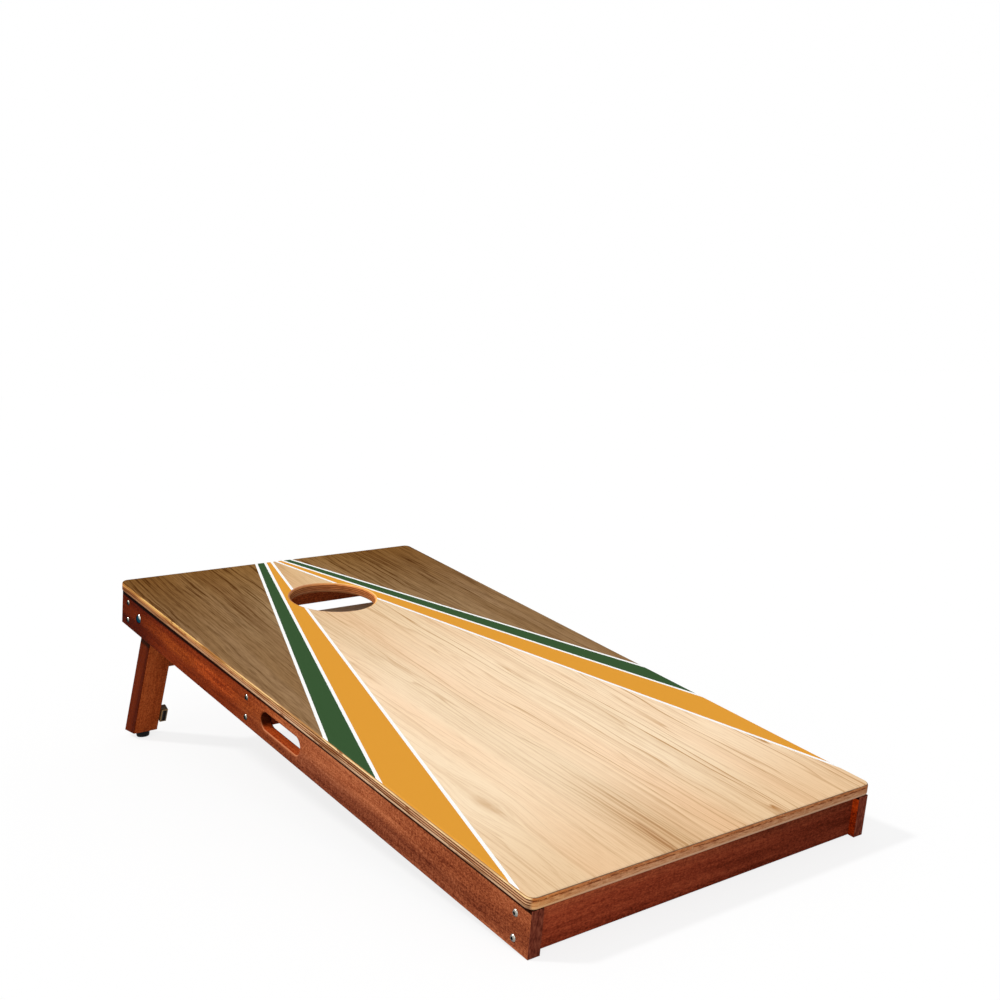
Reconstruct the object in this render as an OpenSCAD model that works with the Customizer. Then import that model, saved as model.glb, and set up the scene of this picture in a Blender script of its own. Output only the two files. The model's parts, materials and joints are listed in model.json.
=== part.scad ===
// Cornhole board with folding legs: a plywood deck on a hardwood frame, standing at its playing slope.
// The frame and deck are drawn in deck coordinates, with X across the deck, Y from its front edge to its rear
// edge and Z square to its top face, which is at Z = 0. They are then tilted to stand on the floor.
// The legs are drawn in leg coordinates, hanging down -Z from the pivot, with Y to the rear.

/* [Deck] */
// Length of the deck, front edge to rear edge
deck_l = 1219.2; // [1100:0.1:1400]
// Width of the deck
deck_w = 609.6; // [500:0.1:720]
// Thickness of the plywood
deck_t = 17.5; // [12:0.5:22]
// Radius of the deck's corners, seen from above
deck_corner_r = 12.5; // [7:0.5:30]
// Radius of the rounded deck edges
deck_edge_r = 4; // [1:0.1:6]
// Height of the deck's top above the floor at the rear edge
rear_height = 304.8; // [270:0.1:340]
// Diameter of the bag hole
hole_d = 152.4; // [120:0.1:170]
// Centre of the bag hole from the rear edge
hole_from_rear = 228.6; // [190:0.1:300]
// Radius of the rounded rims of the bag hole
hole_edge_r = 4; // [0.5:0.1:5]

/* [Frame] */
// Height of the rails
rail_h = 62; // [52:0.5:90]
// Thickness of the side rails
side_rail_t = 18; // [15:0.5:25]
// Thickness of the front rail, the rear rail and the centre brace
cross_rail_t = 38; // [28:0.5:45]
// Deck edge beyond the outer faces of the side rails
side_overhang = 4.5; // [0:0.1:12]
// Deck edge beyond the front ends of the side rails
front_overhang = 0.8; // [0:0.1:8]
// Deck edge beyond the rear ends of the side rails
rear_overhang = 2.4; // [0:0.1:8]
// Front rail behind the front ends of the side rails
front_setback = 10.7; // [0:0.1:20]
// Rear rail ahead of the rear ends of the side rails
rear_setback = 7.8; // [0:0.1:20]
// Radius of the rounded lower edges of the rails
rail_edge_r = 1; // [0.5:0.1:4]
// Radius of the lower corners at the ends of the side rails
rail_toe_r = 1; // [0.5:0.1:8]

/* [Handles] */
// Length of the hand slot in each side rail
handle_l = 120.6; // [90:0.1:150]
// Height of the hand slot
handle_h = 27; // [20:0.1:34]
// Radius of the rounded rims of the hand slot
handle_edge_r = 3; // [1:0.1:5]
// Centre brace behind the rear end of the hand slots
brace_gap = 31; // [10:0.5:60]

/* [Frame screws] */
// Diameter of the screws that join the side rails to the cross pieces
frame_screw_d = 6; // [4:0.1:7]
// Length of the frame screws under the head
frame_screw_l = 50; // [35:1:70]
// Diameter of the domed screw head
frame_screw_head_d = 9.6; // [9:0.1:14]
// Diameter of the flat on the front of the screw head
frame_screw_flat_d = 5.6; // [5:0.1:8]
// Height of the domed screw head
frame_screw_head_h = 1.9; // [1.6:0.1:4]
// Width across flats of the hexagon recess in the head
frame_screw_hex = 4; // [3:0.1:5]
// Depth of the hexagon recess
frame_screw_hex_depth = 1.5; // [1:0.1:2.4]
// Upper frame screw below the top of the rail
frame_screw_from_top = 16.5; // [12:0.5:22]
// Lower frame screw above the bottom of the rail
frame_screw_from_bottom = 13; // [10:0.5:20]

/* [Deck screws] */
// Diameter of the slanted screws that hold the deck from inside the frame
deck_screw_d = 4; // [3:0.1:5]
// Diameter of the flat screw head
deck_screw_head_d = 8; // [6:0.1:8.4]
// Height of the flat screw head
deck_screw_head_h = 2; // [1:0.1:3]
// Slant of the screws from square to the deck
pocket_angle = 15; // [10:0.5:20]
// Diameter of the pocket that a screw is driven through
pocket_d = 8.8; // [8.6:0.1:10]
// Seat of the screw head below the top of the rail, along the screw
pocket_seat = 17; // [12:0.5:25]
// Plywood left above the tips of the screws
deck_screw_cover = 4; // [2:0.5:6]
// Deck screws from the ends of the stretch of rail that they hold
deck_screw_inset = 80; // [50:1:100]

/* [Legs] */
// Width of a leg across the board
leg_w = 45; // [30:0.5:60]
// Thickness of a leg, front to rear
leg_t = 38; // [30:0.5:42]
// Lean of the open legs to the rear, from square to the deck
leg_lean = 17.2; // [8:0.1:26]
// Radius of the rounded leg edges
leg_edge_r = 1.5; // [0.5:0.1:5]

/* [Pivot] */
// Diameter of the pivot bolt
pivot_d = 8; // [6:0.1:10]
// Diameter of the bolt's domed head
pivot_head_d = 16.5; // [15:0.1:22]
// Height of the bolt's domed head
pivot_head_h = 4.4; // [3:0.1:6]
// Width of the square neck that keeps the bolt from turning
pivot_neck_w = 8.6; // [8.2:0.1:10.6]
// Length of the square neck
pivot_neck_l = 5; // [3:0.1:8]
// Outside diameter of the pivot washers
washer_d = 21; // [18:0.5:26]
// Thickness of the pivot washers
washer_t = 1.6; // [1:0.1:3]
// Width across flats of the lock nut
nut_w = 13; // [13:0.1:17]
// Height of the lock nut
nut_h = 8; // [6:0.1:10]
// Height of the nylon ring in the lock nut
nut_ring_h = 2.4; // [1.5:0.1:3]
// Wall of the lock nut round its nylon ring
nut_ring_wall = 1; // [0.6:0.1:1.2]
// Bolt end beyond the lock nut
bolt_past_nut = 2; // [0.5:0.1:5]

/* [Crossbar] */
// Width of the bar that joins the legs, along the legs
bar_w = 63.5; // [40:0.5:80]
// Thickness of the bar
bar_t = 18; // [14:0.5:24]
// Upper edge of the bar below the pivot, along the legs
bar_from_pivot = 42; // [28:0.5:50]
// Front face of the bar behind the front faces of the legs
bar_inset = 1; // [0:0.1:6]
// Diameter of the dowels at each end of the bar
dowel_d = 8; // [6:0.1:10]
// Length of the dowels
dowel_l = 40; // [24:1:50]
// Distance between the two dowels
dowel_pitch = 34; // [20:0.5:36]

/* [Feet] */
// Diameter of a rubber foot at its top
foot_d = 25.5; // [20:0.5:30]
// Height of a foot
foot_h = 11; // [8:0.1:16]
// Narrowing of the foot from top to floor, on the radius
foot_taper = 1.2; // [0.2:0.1:2]
// Radius of the foot's rounded lower edge
foot_edge_r = 3; // [0.5:0.1:3.2]
// Foot ahead of the middle of the leg's end
foot_forward = 8; // [0:0.5:10]
// Diameter of the foot screw
foot_screw_d = 4; // [3:0.1:5]
// Length of the foot screw under its head
foot_screw_l = 24; // [18:1:30]
// Diameter of the foot screw's head
foot_screw_head_d = 8; // [7:0.1:9]
// Height of the foot screw's head
foot_screw_head_h = 2.8; // [2:0.1:3.5]
// Rubber under the head of the foot screw
foot_seat_t = 5; // [3:0.1:6]

/* [Catches] */
// Length of a magnetic catch along the leg
catch_l = 28; // [24:0.5:36]
// Width of the catch across the board
catch_w = 11.5; // [11:0.1:15]
// Depth of the catch, front to rear
catch_depth = 16; // [15:0.1:22]
// Front of the catch ahead of the front face of the leg
catch_proud = 5; // [2:0.1:7]
// Lower end of the catch above the front corner of the leg's end
catch_from_end = 21; // [14:0.5:40]
// Radius of the housing's rounded corners
catch_corner_r = 1.2; // [0.5:0.1:2]
// Wall of the housing round the magnet pocket
catch_wall = 1.6; // [1.2:0.1:2.5]
// Depth of the magnet pocket
magnet_pocket = 9.5; // [7:0.1:10]
// Thickness of each steel pole plate
pole_t = 1.5; // [1:0.1:2]
// Pole plates ahead of the housing
pole_proud = 0.3; // [0:0.1:1]
// Magnet behind the front of the housing
magnet_inset = 1.2; // [0.5:0.1:3]
// Diameter of the catch screws
catch_screw_d = 3; // [2:0.1:3]
// Length of the catch screws under the head
catch_screw_l = 25; // [18:1:32]
// Diameter of the catch screw heads
catch_screw_head_d = 5.2; // [4:0.1:5.4]
// Height of the catch screw heads
catch_screw_head_h = 1.8; // [1:0.1:2.5]
// Catch screws ahead of the rear of the housing
catch_screw_from_rear = 3.2; // [2.8:0.1:3.6]
// Distance between the two screws of a catch
catch_screw_pitch = 17; // [10:0.5:18]

/* [Strike plates] */
// Length of a strike plate under the deck
strike_l = 44; // [38:0.5:60]
// Width of a strike plate
strike_w = 16; // [12:0.5:24]
// Thickness of a strike plate
strike_t = 2; // [1.5:0.1:3]
// Radius of the strike plate's corners
strike_corner_r = 3; // [1:0.5:5]
// Diameter of the strike plate screws
strike_screw_d = 3.5; // [3:0.1:4]
// Length of the strike plate screws
strike_screw_l = 12; // [8:0.5:13]
// Diameter of the countersunk screw heads
strike_screw_head_d = 7; // [6:0.1:8]
// Distance between the two screws of a strike plate
strike_screw_pitch = 30; // [20:0.5:32]

/* [Fits] */
// Radial clearance of screws, dowels and nuts in their holes
screw_fit = 0.05; // [0.02:0.01:0.2]
// Radial running clearance of the legs on the pivot bolts
pivot_fit = 0.06; // [0.02:0.01:0.1]
// Side play of each leg between its washers
side_play = 0.25; // [0.1:0.05:0.5]
// Clearance of the open legs from the rear rail that stops them
stop_gap = 0.3; // [0.1:0.05:0.6]
// Clearance of the folded catches from their strike plates
strike_gap = 0.3; // [0.1:0.05:0.6]
// Extra depth of a blind hole beyond the end of its screw or dowel
hole_end = 0.5; // [0.2:0.1:1]

/* [Hidden] */
$fn = 64;
// Distance that a cutting shape runs past the face it opens
over = 1;
// Length of a pointed screw tip, in screw diameters
tip = 1;
// Radius of a leg's rounded top beyond half the leg's thickness
leg_top_ease = 0.5;

// Faces and levels of the frame, in deck coordinates
deck_under = -deck_t;
rail_bottom = deck_under - rail_h;
rail_middle = deck_under - rail_h / 2;
rail_front = front_overhang;
rail_rear = deck_l - rear_overhang;
rail_outer = deck_w / 2 - side_overhang;
rail_inner = rail_outer - side_rail_t;
front_rail_y = rail_front + front_setback;
rear_rail_y = rail_rear - rear_setback - cross_rail_t;
handle_y = deck_l / 2;
brace_y = handle_y + handle_l / 2 + brace_gap;
hole_y = deck_l - hole_from_rear;
frame_screw_z = [deck_under - frame_screw_from_top, rail_bottom + frame_screw_from_bottom];

// The side rails stand on the rounded toe at their front ends, whose centre is the turning point of the slope
toe_y = rail_front + rail_toe_r;
toe_z = rail_bottom + rail_toe_r;
tilt = asin((rear_height - rail_toe_r) / norm([deck_l - toe_y, toe_z])) - atan2(-toe_z, deck_l - toe_y);

// Place of a deck coordinate on the floor behind the toe, and its height above the floor
function floor_y(y, z) = (y - toe_y) * cos(tilt) - (z - toe_z) * sin(tilt);
function floor_z(y, z) = rail_toe_r + (y - toe_y) * sin(tilt) + (z - toe_z) * cos(tilt);

// The pivot lies ahead of the rear rail, so that the rear face of an open leg bears on the rail's lower edge
stop_reach = leg_t / 2 + stop_gap + rail_edge_r + (rail_h / 2 - rail_edge_r) * sin(leg_lean);
pivot_y = rear_rail_y + rail_edge_r - stop_reach / cos(leg_lean);
pivot_z = rail_middle;

// Legs: the end of each is cut level, one foot height above the floor
leg_angle = tilt + leg_lean;
leg_l = (floor_z(pivot_y, pivot_z) - foot_h) / cos(leg_angle);
leg_skew = leg_t / 2 * tan(leg_angle);
leg_outer = rail_inner - washer_t - side_play;
leg_inner = leg_outer - leg_w;
leg_x = leg_inner + leg_w / 2;
leg_front = -leg_t / 2;
leg_top_r = leg_t / 2 + leg_top_ease;
leg_top_y = sqrt(leg_top_r * leg_top_r - leg_t * leg_t / 4);

// Front and rear limits of the standing board, whose middle is the origin
front_limit = floor_y(deck_edge_r, -deck_edge_r) - deck_edge_r;
leg_limit = floor_y(pivot_y, pivot_z) + (leg_l + leg_skew) * sin(leg_angle) + leg_t / 2 * cos(leg_angle);
rear_limit = max(leg_limit, floor_y(deck_l, deck_under));
middle_y = (front_limit + rear_limit) / 2;
foot_y = floor_y(pivot_y, pivot_z) + leg_l * sin(leg_angle) - foot_forward - middle_y;

// Crossbar, in leg coordinates
bar_y = leg_front + bar_inset + bar_t / 2;
bar_z = -bar_from_pivot - bar_w / 2;

// Catches, in leg coordinates, and the angle at which they meet their strike plates
catch_front = leg_front - catch_proud;
catch_end = leg_l - leg_skew - catch_from_end;
catch_z = catch_l / 2 - catch_end;
catch_x = leg_inner - catch_w / 2;
catch_screw_y = catch_front + catch_depth - catch_screw_from_rear;
pocket_w = catch_w - 2 * catch_wall;
pocket_l = catch_l - 2 * catch_wall;
pole_reach = pole_proud - catch_front;
strike_drop = rail_h / 2 - strike_t - strike_gap;
fold_past_level = asin(strike_drop / norm([catch_end, pole_reach])) - atan2(pole_reach, catch_end);
strike_y = pivot_y + catch_z * cos(fold_past_level) + pole_reach * sin(fold_past_level);

// Pivot bolt: head on the outer face of the side rail, nut on the inner side of the leg
nut_x = leg_inner - side_play - washer_t - nut_h;
bolt_end = nut_x - bolt_past_nut;

// Slanted deck screws. Each site has its place on the top of a rail and its turns about X and Y
deck_screw_grip = (deck_t - deck_screw_cover) / cos(pocket_angle);
pocket_l_full = (side_rail_t / 2 + pocket_d) / sin(pocket_angle) - pocket_seat;
side_site_x = rail_outer - side_rail_t / 2;
side_site_ys = [
  front_rail_y + cross_rail_t + deck_screw_inset,
  handle_y - handle_l / 2 - deck_screw_inset,
  brace_y + cross_rail_t + deck_screw_inset,
  pivot_y - deck_screw_inset
];
cross_site_x = rail_inner - deck_screw_inset;
right_sites = [for (y = side_site_ys) [side_site_x, y, 0, pocket_angle]];
left_sites = [for (y = side_site_ys) [-side_site_x, y, 0, -pocket_angle]];
front_sites = cross_sites(front_rail_y + cross_rail_t - side_rail_t / 2, pocket_angle);
brace_sites = cross_sites(brace_y + side_rail_t / 2, -pocket_angle);
rear_sites = cross_sites(rear_rail_y + side_rail_t / 2, -pocket_angle);
function cross_sites(y, turn) = [for (x = [-cross_site_x, cross_site_x]) [x, y, turn, 0]];

// Colours
ply = [0.87, 0.74, 0.55];
mahogany = [0.58, 0.28, 0.15];
dark_mahogany = [0.47, 0.2, 0.12];
red_mahogany = [0.6, 0.3, 0.16];
beech = [0.84, 0.68, 0.46];
zinc = [0.75, 0.76, 0.78];
steel = [0.45, 0.45, 0.47];
bronze = [0.36, 0.28, 0.18];
ferrite = [0.13, 0.12, 0.12];
rubber = [0.08, 0.08, 0.08];
nylon = [0.88, 0.88, 0.84];

// Places

module board_place() {
  translate([0, -middle_y, rail_toe_r]) rotate([tilt, 0, 0]) translate([0, -toe_y, -toe_z]) children();
}

module leg_place() {
  board_place() translate([0, pivot_y, pivot_z]) rotate([leg_lean, 0, 0]) children();
}

// Draws a right-hand piece and its mirror image
module both_sides() {
  children();
  mirror([1, 0, 0]) children();
}

// Turns +Z to +X, with the drawing's X along Y and its Y along Z
module facing_x() {
  rotate([90, 0, 90]) children();
}

// Turns +Z to -X, for a screw that is driven from the outer side
module driven_in() {
  rotate([0, -90, 0]) children();
}

// Turns +Z to +X, for a screw that is driven from the inner side
module driven_out() {
  rotate([0, 90, 0]) children();
}

// Shapes that repeat

module rounded_rect(w, h, r) {
  square([w - 2 * r, h], center = true);
  square([w, h - 2 * r], center = true);
  for (x = [-1, 1], y = [-1, 1])
    translate([x * (w / 2 - r), y * (h / 2 - r)]) circle(r);
}

// Section across a rail of thickness t, rounded along its two lower edges
module rail_section(t) {
  translate([-t / 2, rail_bottom + rail_edge_r]) square([t, rail_h - rail_edge_r]);
  translate([rail_edge_r - t / 2, rail_bottom]) square([t - 2 * rail_edge_r, rail_h]);
  for (x = [-1, 1])
    translate([x * (t / 2 - rail_edge_r), rail_bottom + rail_edge_r]) circle(rail_edge_r);
}

// Half section of a hole through a board, from the hole's middle outwards, with both rims rounded
module rim_section(radius, thickness, edge) {
  difference() {
    translate([0, -over]) square([radius + edge, thickness + 2 * over]);
    translate([radius, edge]) square([edge + over, thickness - 2 * edge]);
    for (y = [edge, thickness - edge]) translate([radius + edge, y]) circle(edge);
  }
}

// Domed head standing on Z = 0, with a round flat on its top
module dome(d, h, flat_d = 0) {
  drop = ((d * d - flat_d * flat_d) / 4 - h * h) / (2 * h);
  rotate_extrude() intersection() {
    square([d / 2, h]);
    translate([0, -drop]) circle(norm([d / 2, drop]));
  }
}

// Shank of length l from Z = 0 upwards, ending in a point
module pointed_shank(d, l) {
  cylinder(d = d, h = l - tip * d);
  translate([0, 0, l - tip * d]) cylinder(d1 = d, d2 = 0, h = tip * d);
}

// Blind hole for a shank of length l, from just below Z = 0 upwards
module shank_hole(d, l) {
  translate([0, 0, -over]) cylinder(r = d / 2 + screw_fit, h = l + over + hole_end);
}

// Screw with a flat disc head, its head seat at Z = 0
module flat_head_screw(d, l, head_d, head_h) {
  translate([0, 0, -head_h]) cylinder(d = head_d, h = head_h);
  pointed_shank(d, l);
}

// Deck

module deck_blank() {
  translate([0, deck_l / 2, -deck_t / 2]) {
    rotate([90, 0, 0])
      linear_extrude(deck_l - 2 * deck_corner_r, center = true) rounded_rect(deck_w, deck_t, deck_edge_r);
    facing_x()
      linear_extrude(deck_w - 2 * deck_corner_r, center = true) rounded_rect(deck_l, deck_t, deck_edge_r);
    for (turn = [0, 180], flip = [0, 1])
      rotate([0, 0, turn]) mirror([flip, 0, 0])
        translate([deck_w / 2 - deck_corner_r, deck_l / 2 - deck_corner_r, 0])
          rotate_extrude(angle = 90) deck_corner_section();
  }
}

module deck_corner_section() {
  intersection() {
    rounded_rect(2 * deck_corner_r, deck_t, deck_edge_r);
    translate([0, -deck_t]) square([deck_corner_r, 2 * deck_t]);
  }
}

module deck() {
  color(ply) board_place() difference() {
    deck_blank();
    translate([0, hole_y, -deck_t]) rotate_extrude() rim_section(hole_d / 2, deck_t, hole_edge_r);
    for (site = concat(right_sites, left_sites, front_sites, brace_sites, rear_sites))
      at_site(site) shank_hole(deck_screw_d, deck_screw_grip);
    both_sides() strike_screw_places() shank_hole(strike_screw_d, strike_screw_l - strike_t);
  }
}

// Puts a slanted screw, pointing up into the deck, at its site on the top of a rail
module at_site(site) {
  translate([site[0], site[1], deck_under]) rotate([site[2], site[3], 0]) children();
}

// Slanted hole in a rail, with the pocket that its screw head sits in
module screw_pocket() {
  translate([0, 0, -pocket_seat]) {
    shank_hole(deck_screw_d, pocket_seat + over);
    translate([0, 0, -pocket_l_full]) cylinder(d = pocket_d, h = pocket_l_full);
  }
}

module deck_screws() {
  color(zinc) board_place()
    for (site = concat(right_sites, left_sites, front_sites, brace_sites, rear_sites))
      at_site(site) translate([0, 0, -pocket_seat])
        flat_head_screw(deck_screw_d, pocket_seat + deck_screw_grip, deck_screw_head_d, deck_screw_head_h);
}

// Side rails

module side_rail_outline() {
  translate([rail_front, toe_z]) square([rail_rear - rail_front, rail_h - rail_toe_r]);
  translate([toe_y, rail_bottom]) square([rail_rear - rail_toe_r - toe_y, rail_h]);
  for (y = [toe_y, rail_rear - rail_toe_r]) translate([y, toe_z]) circle(rail_toe_r);
}

// Hand slot with round ends and rounded rims on both faces of the rail
module hand_slot() {
  half_run = (handle_l - handle_h) / 2;
  translate([rail_inner, handle_y, rail_middle]) {
    facing_x() for (turn = [-90, 90])
      rotate([0, 0, turn]) translate([0, half_run, 0])
        rotate_extrude(angle = 180) rim_section(handle_h / 2, side_rail_t, handle_edge_r);
    rotate([90, 0, 0]) linear_extrude(2 * half_run, center = true) for (flip = [0, 1])
      mirror([0, flip]) rotate(90) mirror([0, 1]) rim_section(handle_h / 2, side_rail_t, handle_edge_r);
  }
}

module frame_screw_places(y) {
  for (z = frame_screw_z) translate([rail_outer, y + cross_rail_t / 2, z]) driven_in() children();
}

module side_rail_blank() {
  intersection() {
    translate([rail_inner, 0, 0]) facing_x() linear_extrude(side_rail_t) side_rail_outline();
    translate([side_site_x, rail_rear, 0]) rotate([90, 0, 0])
      linear_extrude(rail_rear - rail_front) rail_section(side_rail_t);
  }
}

module side_rail() {
  difference() {
    side_rail_blank();
    hand_slot();
    for (y = [front_rail_y, brace_y, rear_rail_y])
      frame_screw_places(y) shank_hole(frame_screw_d, side_rail_t + over);
    translate([rail_outer, pivot_y, pivot_z]) driven_in() {
      shank_hole(pivot_d, side_rail_t + over);
      translate([0, 0, pivot_neck_l / 2]) cube(neck_hole_size(), center = true);
    }
    for (site = right_sites) at_site(site) screw_pocket();
  }
}

// The square hole runs past the rail's outer face and a little deeper than the bolt's neck
function neck_hole_size() = [
  pivot_neck_w + 2 * screw_fit, pivot_neck_w + 2 * screw_fit, pivot_neck_l + 2 * hole_end
];

module right_side_rail() {
  color(mahogany) board_place() side_rail();
}

module left_side_rail() {
  color(mahogany) board_place() mirror([1, 0, 0]) side_rail();
}

// Front rail, rear rail and centre brace

module cross_rail(y, sites) {
  difference() {
    translate([0, y + cross_rail_t / 2, 0]) facing_x()
      linear_extrude(2 * rail_inner, center = true) rail_section(cross_rail_t);
    both_sides() frame_screw_places(y) shank_hole(frame_screw_d, frame_screw_l);
    for (site = sites) at_site(site) screw_pocket();
  }
}

module front_rail() {
  color(dark_mahogany) board_place() cross_rail(front_rail_y, front_sites);
}

module rear_rail() {
  color(dark_mahogany) board_place() cross_rail(rear_rail_y, rear_sites);
}

module centre_brace() {
  color(dark_mahogany) board_place() cross_rail(brace_y, brace_sites);
}

// Screws that join the side rails to the cross pieces

module frame_screw() {
  pointed_shank(frame_screw_d, frame_screw_l);
  mirror([0, 0, 1]) difference() {
    dome(frame_screw_head_d, frame_screw_head_h, frame_screw_flat_d);
    translate([0, 0, frame_screw_head_h - frame_screw_hex_depth])
      cylinder(d = frame_screw_hex / cos(30), h = frame_screw_hex_depth + over, $fn = 6);
  }
}

module frame_screws(y) {
  color(zinc) board_place() both_sides() frame_screw_places(y) frame_screw();
}

module front_rail_screws() {
  frame_screws(front_rail_y);
}

module rear_rail_screws() {
  frame_screws(rear_rail_y);
}

module centre_brace_screws() {
  frame_screws(brace_y);
}

// Pivot bolts, washers and lock nuts

module pivot_bolt() {
  color(zinc) board_place() translate([rail_outer, pivot_y, pivot_z]) driven_in() {
    mirror([0, 0, 1]) dome(pivot_head_d, pivot_head_h);
    translate([-pivot_neck_w / 2, -pivot_neck_w / 2, 0]) cube([pivot_neck_w, pivot_neck_w, pivot_neck_l]);
    cylinder(d = pivot_d, h = rail_outer - bolt_end);
  }
}

module right_pivot_bolt() {
  pivot_bolt();
}

module left_pivot_bolt() {
  mirror([1, 0, 0]) pivot_bolt();
}

module pivot_washer(inner_face) {
  translate([inner_face, pivot_y, pivot_z]) driven_out() difference() {
    cylinder(d = washer_d, h = washer_t);
    translate([0, 0, -over]) cylinder(r = pivot_d / 2 + screw_fit, h = washer_t + 2 * over);
  }
}

module spacer_washers() {
  color(zinc) board_place() both_sides() pivot_washer(rail_inner - washer_t);
}

module nut_washers() {
  color(zinc) board_place() both_sides() pivot_washer(nut_x + nut_h);
}

module lock_nut() {
  difference() {
    cylinder(d = nut_w / cos(30), h = nut_h, $fn = 6);
    translate([0, 0, -over]) cylinder(r = pivot_d / 2 + screw_fit, h = nut_h + 2 * over);
    translate([0, 0, -over]) cylinder(d = nut_w - 2 * nut_ring_wall, h = nut_ring_h + over);
  }
}

module lock_nut_ring() {
  difference() {
    cylinder(r = nut_w / 2 - nut_ring_wall - screw_fit, h = nut_ring_h);
    translate([0, 0, -over]) cylinder(r = pivot_d / 2 + screw_fit, h = nut_ring_h + 2 * over);
  }
}

module lock_nuts() {
  color(zinc) board_place() both_sides() translate([nut_x, pivot_y, pivot_z]) driven_out() lock_nut();
}

module lock_nut_rings() {
  color(nylon) board_place() both_sides() translate([nut_x, pivot_y, pivot_z]) driven_out() lock_nut_ring();
}

// Strike plates under the deck, where the folded catches meet them

module strike_screw_places() {
  for (end = [-1, 1])
    translate([catch_x, strike_y + end * strike_screw_pitch / 2, deck_under]) children();
}

// Countersunk cone through the plate, widest at the plate's lower face
module countersink(grow) {
  translate([0, 0, -strike_t])
    cylinder(r1 = strike_screw_head_d / 2 + grow, r2 = strike_screw_d / 2 + grow, h = strike_t);
}

module strike_plate() {
  color(zinc) board_place() difference() {
    translate([catch_x, strike_y, deck_under - strike_t])
      linear_extrude(strike_t) rounded_rect(strike_w, strike_l, strike_corner_r);
    strike_screw_places() countersink(screw_fit);
  }
}

module right_strike_plate() {
  strike_plate();
}

module left_strike_plate() {
  mirror([1, 0, 0]) strike_plate();
}

module strike_plate_screws() {
  color(zinc) board_place() both_sides() strike_screw_places() {
    countersink(0);
    pointed_shank(strike_screw_d, strike_screw_l - strike_t);
  }
}

// Legs

// Everything below the level end of a leg, seen from the side
module below_leg_end() {
  polygon([
    [-leg_t, 2 * leg_skew - leg_l],
    [leg_t, -2 * leg_skew - leg_l],
    [leg_t, -4 * leg_skew - leg_l],
    [-leg_t, -4 * leg_skew - leg_l]
  ]);
}

// Everything outside the rounded top of a leg, seen from the side
module above_leg_top() {
  difference() {
    translate([-leg_t, leg_top_y]) square([2 * leg_t, leg_t]);
    circle(leg_top_r);
  }
}

module leg_blank() {
  low = leg_l + leg_skew + over;
  difference() {
    translate([leg_x, 0, -low]) linear_extrude(low + leg_top_r) rounded_rect(leg_w, leg_t, leg_edge_r);
    translate([leg_inner - over, 0, 0]) facing_x() linear_extrude(leg_w + 2 * over) {
      below_leg_end();
      above_leg_top();
    }
  }
}

module leg() {
  color(mahogany) difference() {
    leg_place() difference() {
      leg_blank();
      translate([leg_inner - over, 0, 0]) driven_out()
        cylinder(r = pivot_d / 2 + pivot_fit, h = leg_w + 2 * over);
      dowel_places() shank_hole(dowel_d, dowel_l / 2);
      catch_screw_places() shank_hole(catch_screw_d, catch_screw_l);
    }
    foot_place() translate([0, 0, foot_seat_z()]) shank_hole(foot_screw_d, foot_screw_l);
  }
}

module right_leg() {
  leg();
}

module left_leg() {
  mirror([1, 0, 0]) leg();
}

// Crossbar and its dowels

module dowel_places() {
  for (end = [-1, 1])
    translate([leg_inner, bar_y, bar_z + end * dowel_pitch / 2]) driven_out() children();
}

module leg_crossbar() {
  color(red_mahogany) leg_place() difference() {
    translate([0, bar_y, bar_z]) facing_x()
      linear_extrude(2 * leg_inner, center = true) rounded_rect(bar_t, bar_w, rail_edge_r);
    both_sides() dowel_places() mirror([0, 0, 1]) shank_hole(dowel_d, dowel_l / 2);
  }
}

module crossbar_dowels() {
  color(beech) leg_place() both_sides() dowel_places() cylinder(d = dowel_d, h = dowel_l, center = true);
}

// Feet, drawn upright under the level leg ends

function foot_seat_z() = foot_h - foot_seat_t;

module foot_place() {
  translate([leg_x, foot_y, 0]) children();
}

module foot_section() {
  low_r = foot_d / 2 - foot_taper;
  polygon([
    [0, 0],
    [low_r - foot_edge_r, 0],
    [low_r, foot_edge_r],
    [foot_d / 2, foot_h],
    [0, foot_h]
  ]);
  translate([low_r - foot_edge_r, foot_edge_r]) circle(foot_edge_r);
}

module foot() {
  color(rubber) foot_place() difference() {
    rotate_extrude() foot_section();
    translate([0, 0, -over]) cylinder(r = foot_screw_d / 2 + screw_fit, h = foot_h + 2 * over);
    translate([0, 0, -over]) cylinder(d = foot_screw_head_d + 2 * hole_end, h = foot_seat_z() + over);
  }
}

module right_foot() {
  foot();
}

module left_foot() {
  mirror([1, 0, 0]) foot();
}

module foot_screws() {
  color(zinc) both_sides() foot_place() translate([0, 0, foot_seat_z()])
    flat_head_screw(foot_screw_d, foot_screw_l, foot_screw_head_d, foot_screw_head_h);
}

// Magnetic catches on the inner faces of the legs

module catch_screw_places() {
  for (end = [-1, 1])
    translate([leg_inner - catch_w, catch_screw_y, catch_z + end * catch_screw_pitch / 2])
      driven_out() children();
}

module catch_housing() {
  color(bronze) leg_place() difference() {
    translate([catch_x, catch_front + catch_depth / 2, catch_z]) facing_x()
      linear_extrude(catch_w, center = true) rounded_rect(catch_depth, catch_l, catch_corner_r);
    translate([catch_x - pocket_w / 2, catch_front - over, catch_z - pocket_l / 2])
      cube([pocket_w, magnet_pocket + over, pocket_l]);
    catch_screw_places() shank_hole(catch_screw_d, catch_w + over);
  }
}

module right_catch_housing() {
  catch_housing();
}

module left_catch_housing() {
  mirror([1, 0, 0]) catch_housing();
}

// Block that fills a stretch of the magnet pocket, from the given place at its front to its bottom
module pocket_block(x, width, front) {
  translate([catch_x + x - width / 2, catch_front + front, catch_z - pocket_l / 2 + screw_fit])
    cube([width, magnet_pocket - front, pocket_l - 2 * screw_fit]);
}

module catch_magnets() {
  color(ferrite) leg_place() both_sides()
    pocket_block(0, pocket_w - 2 * pole_t - 4 * screw_fit, magnet_inset);
}

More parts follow.
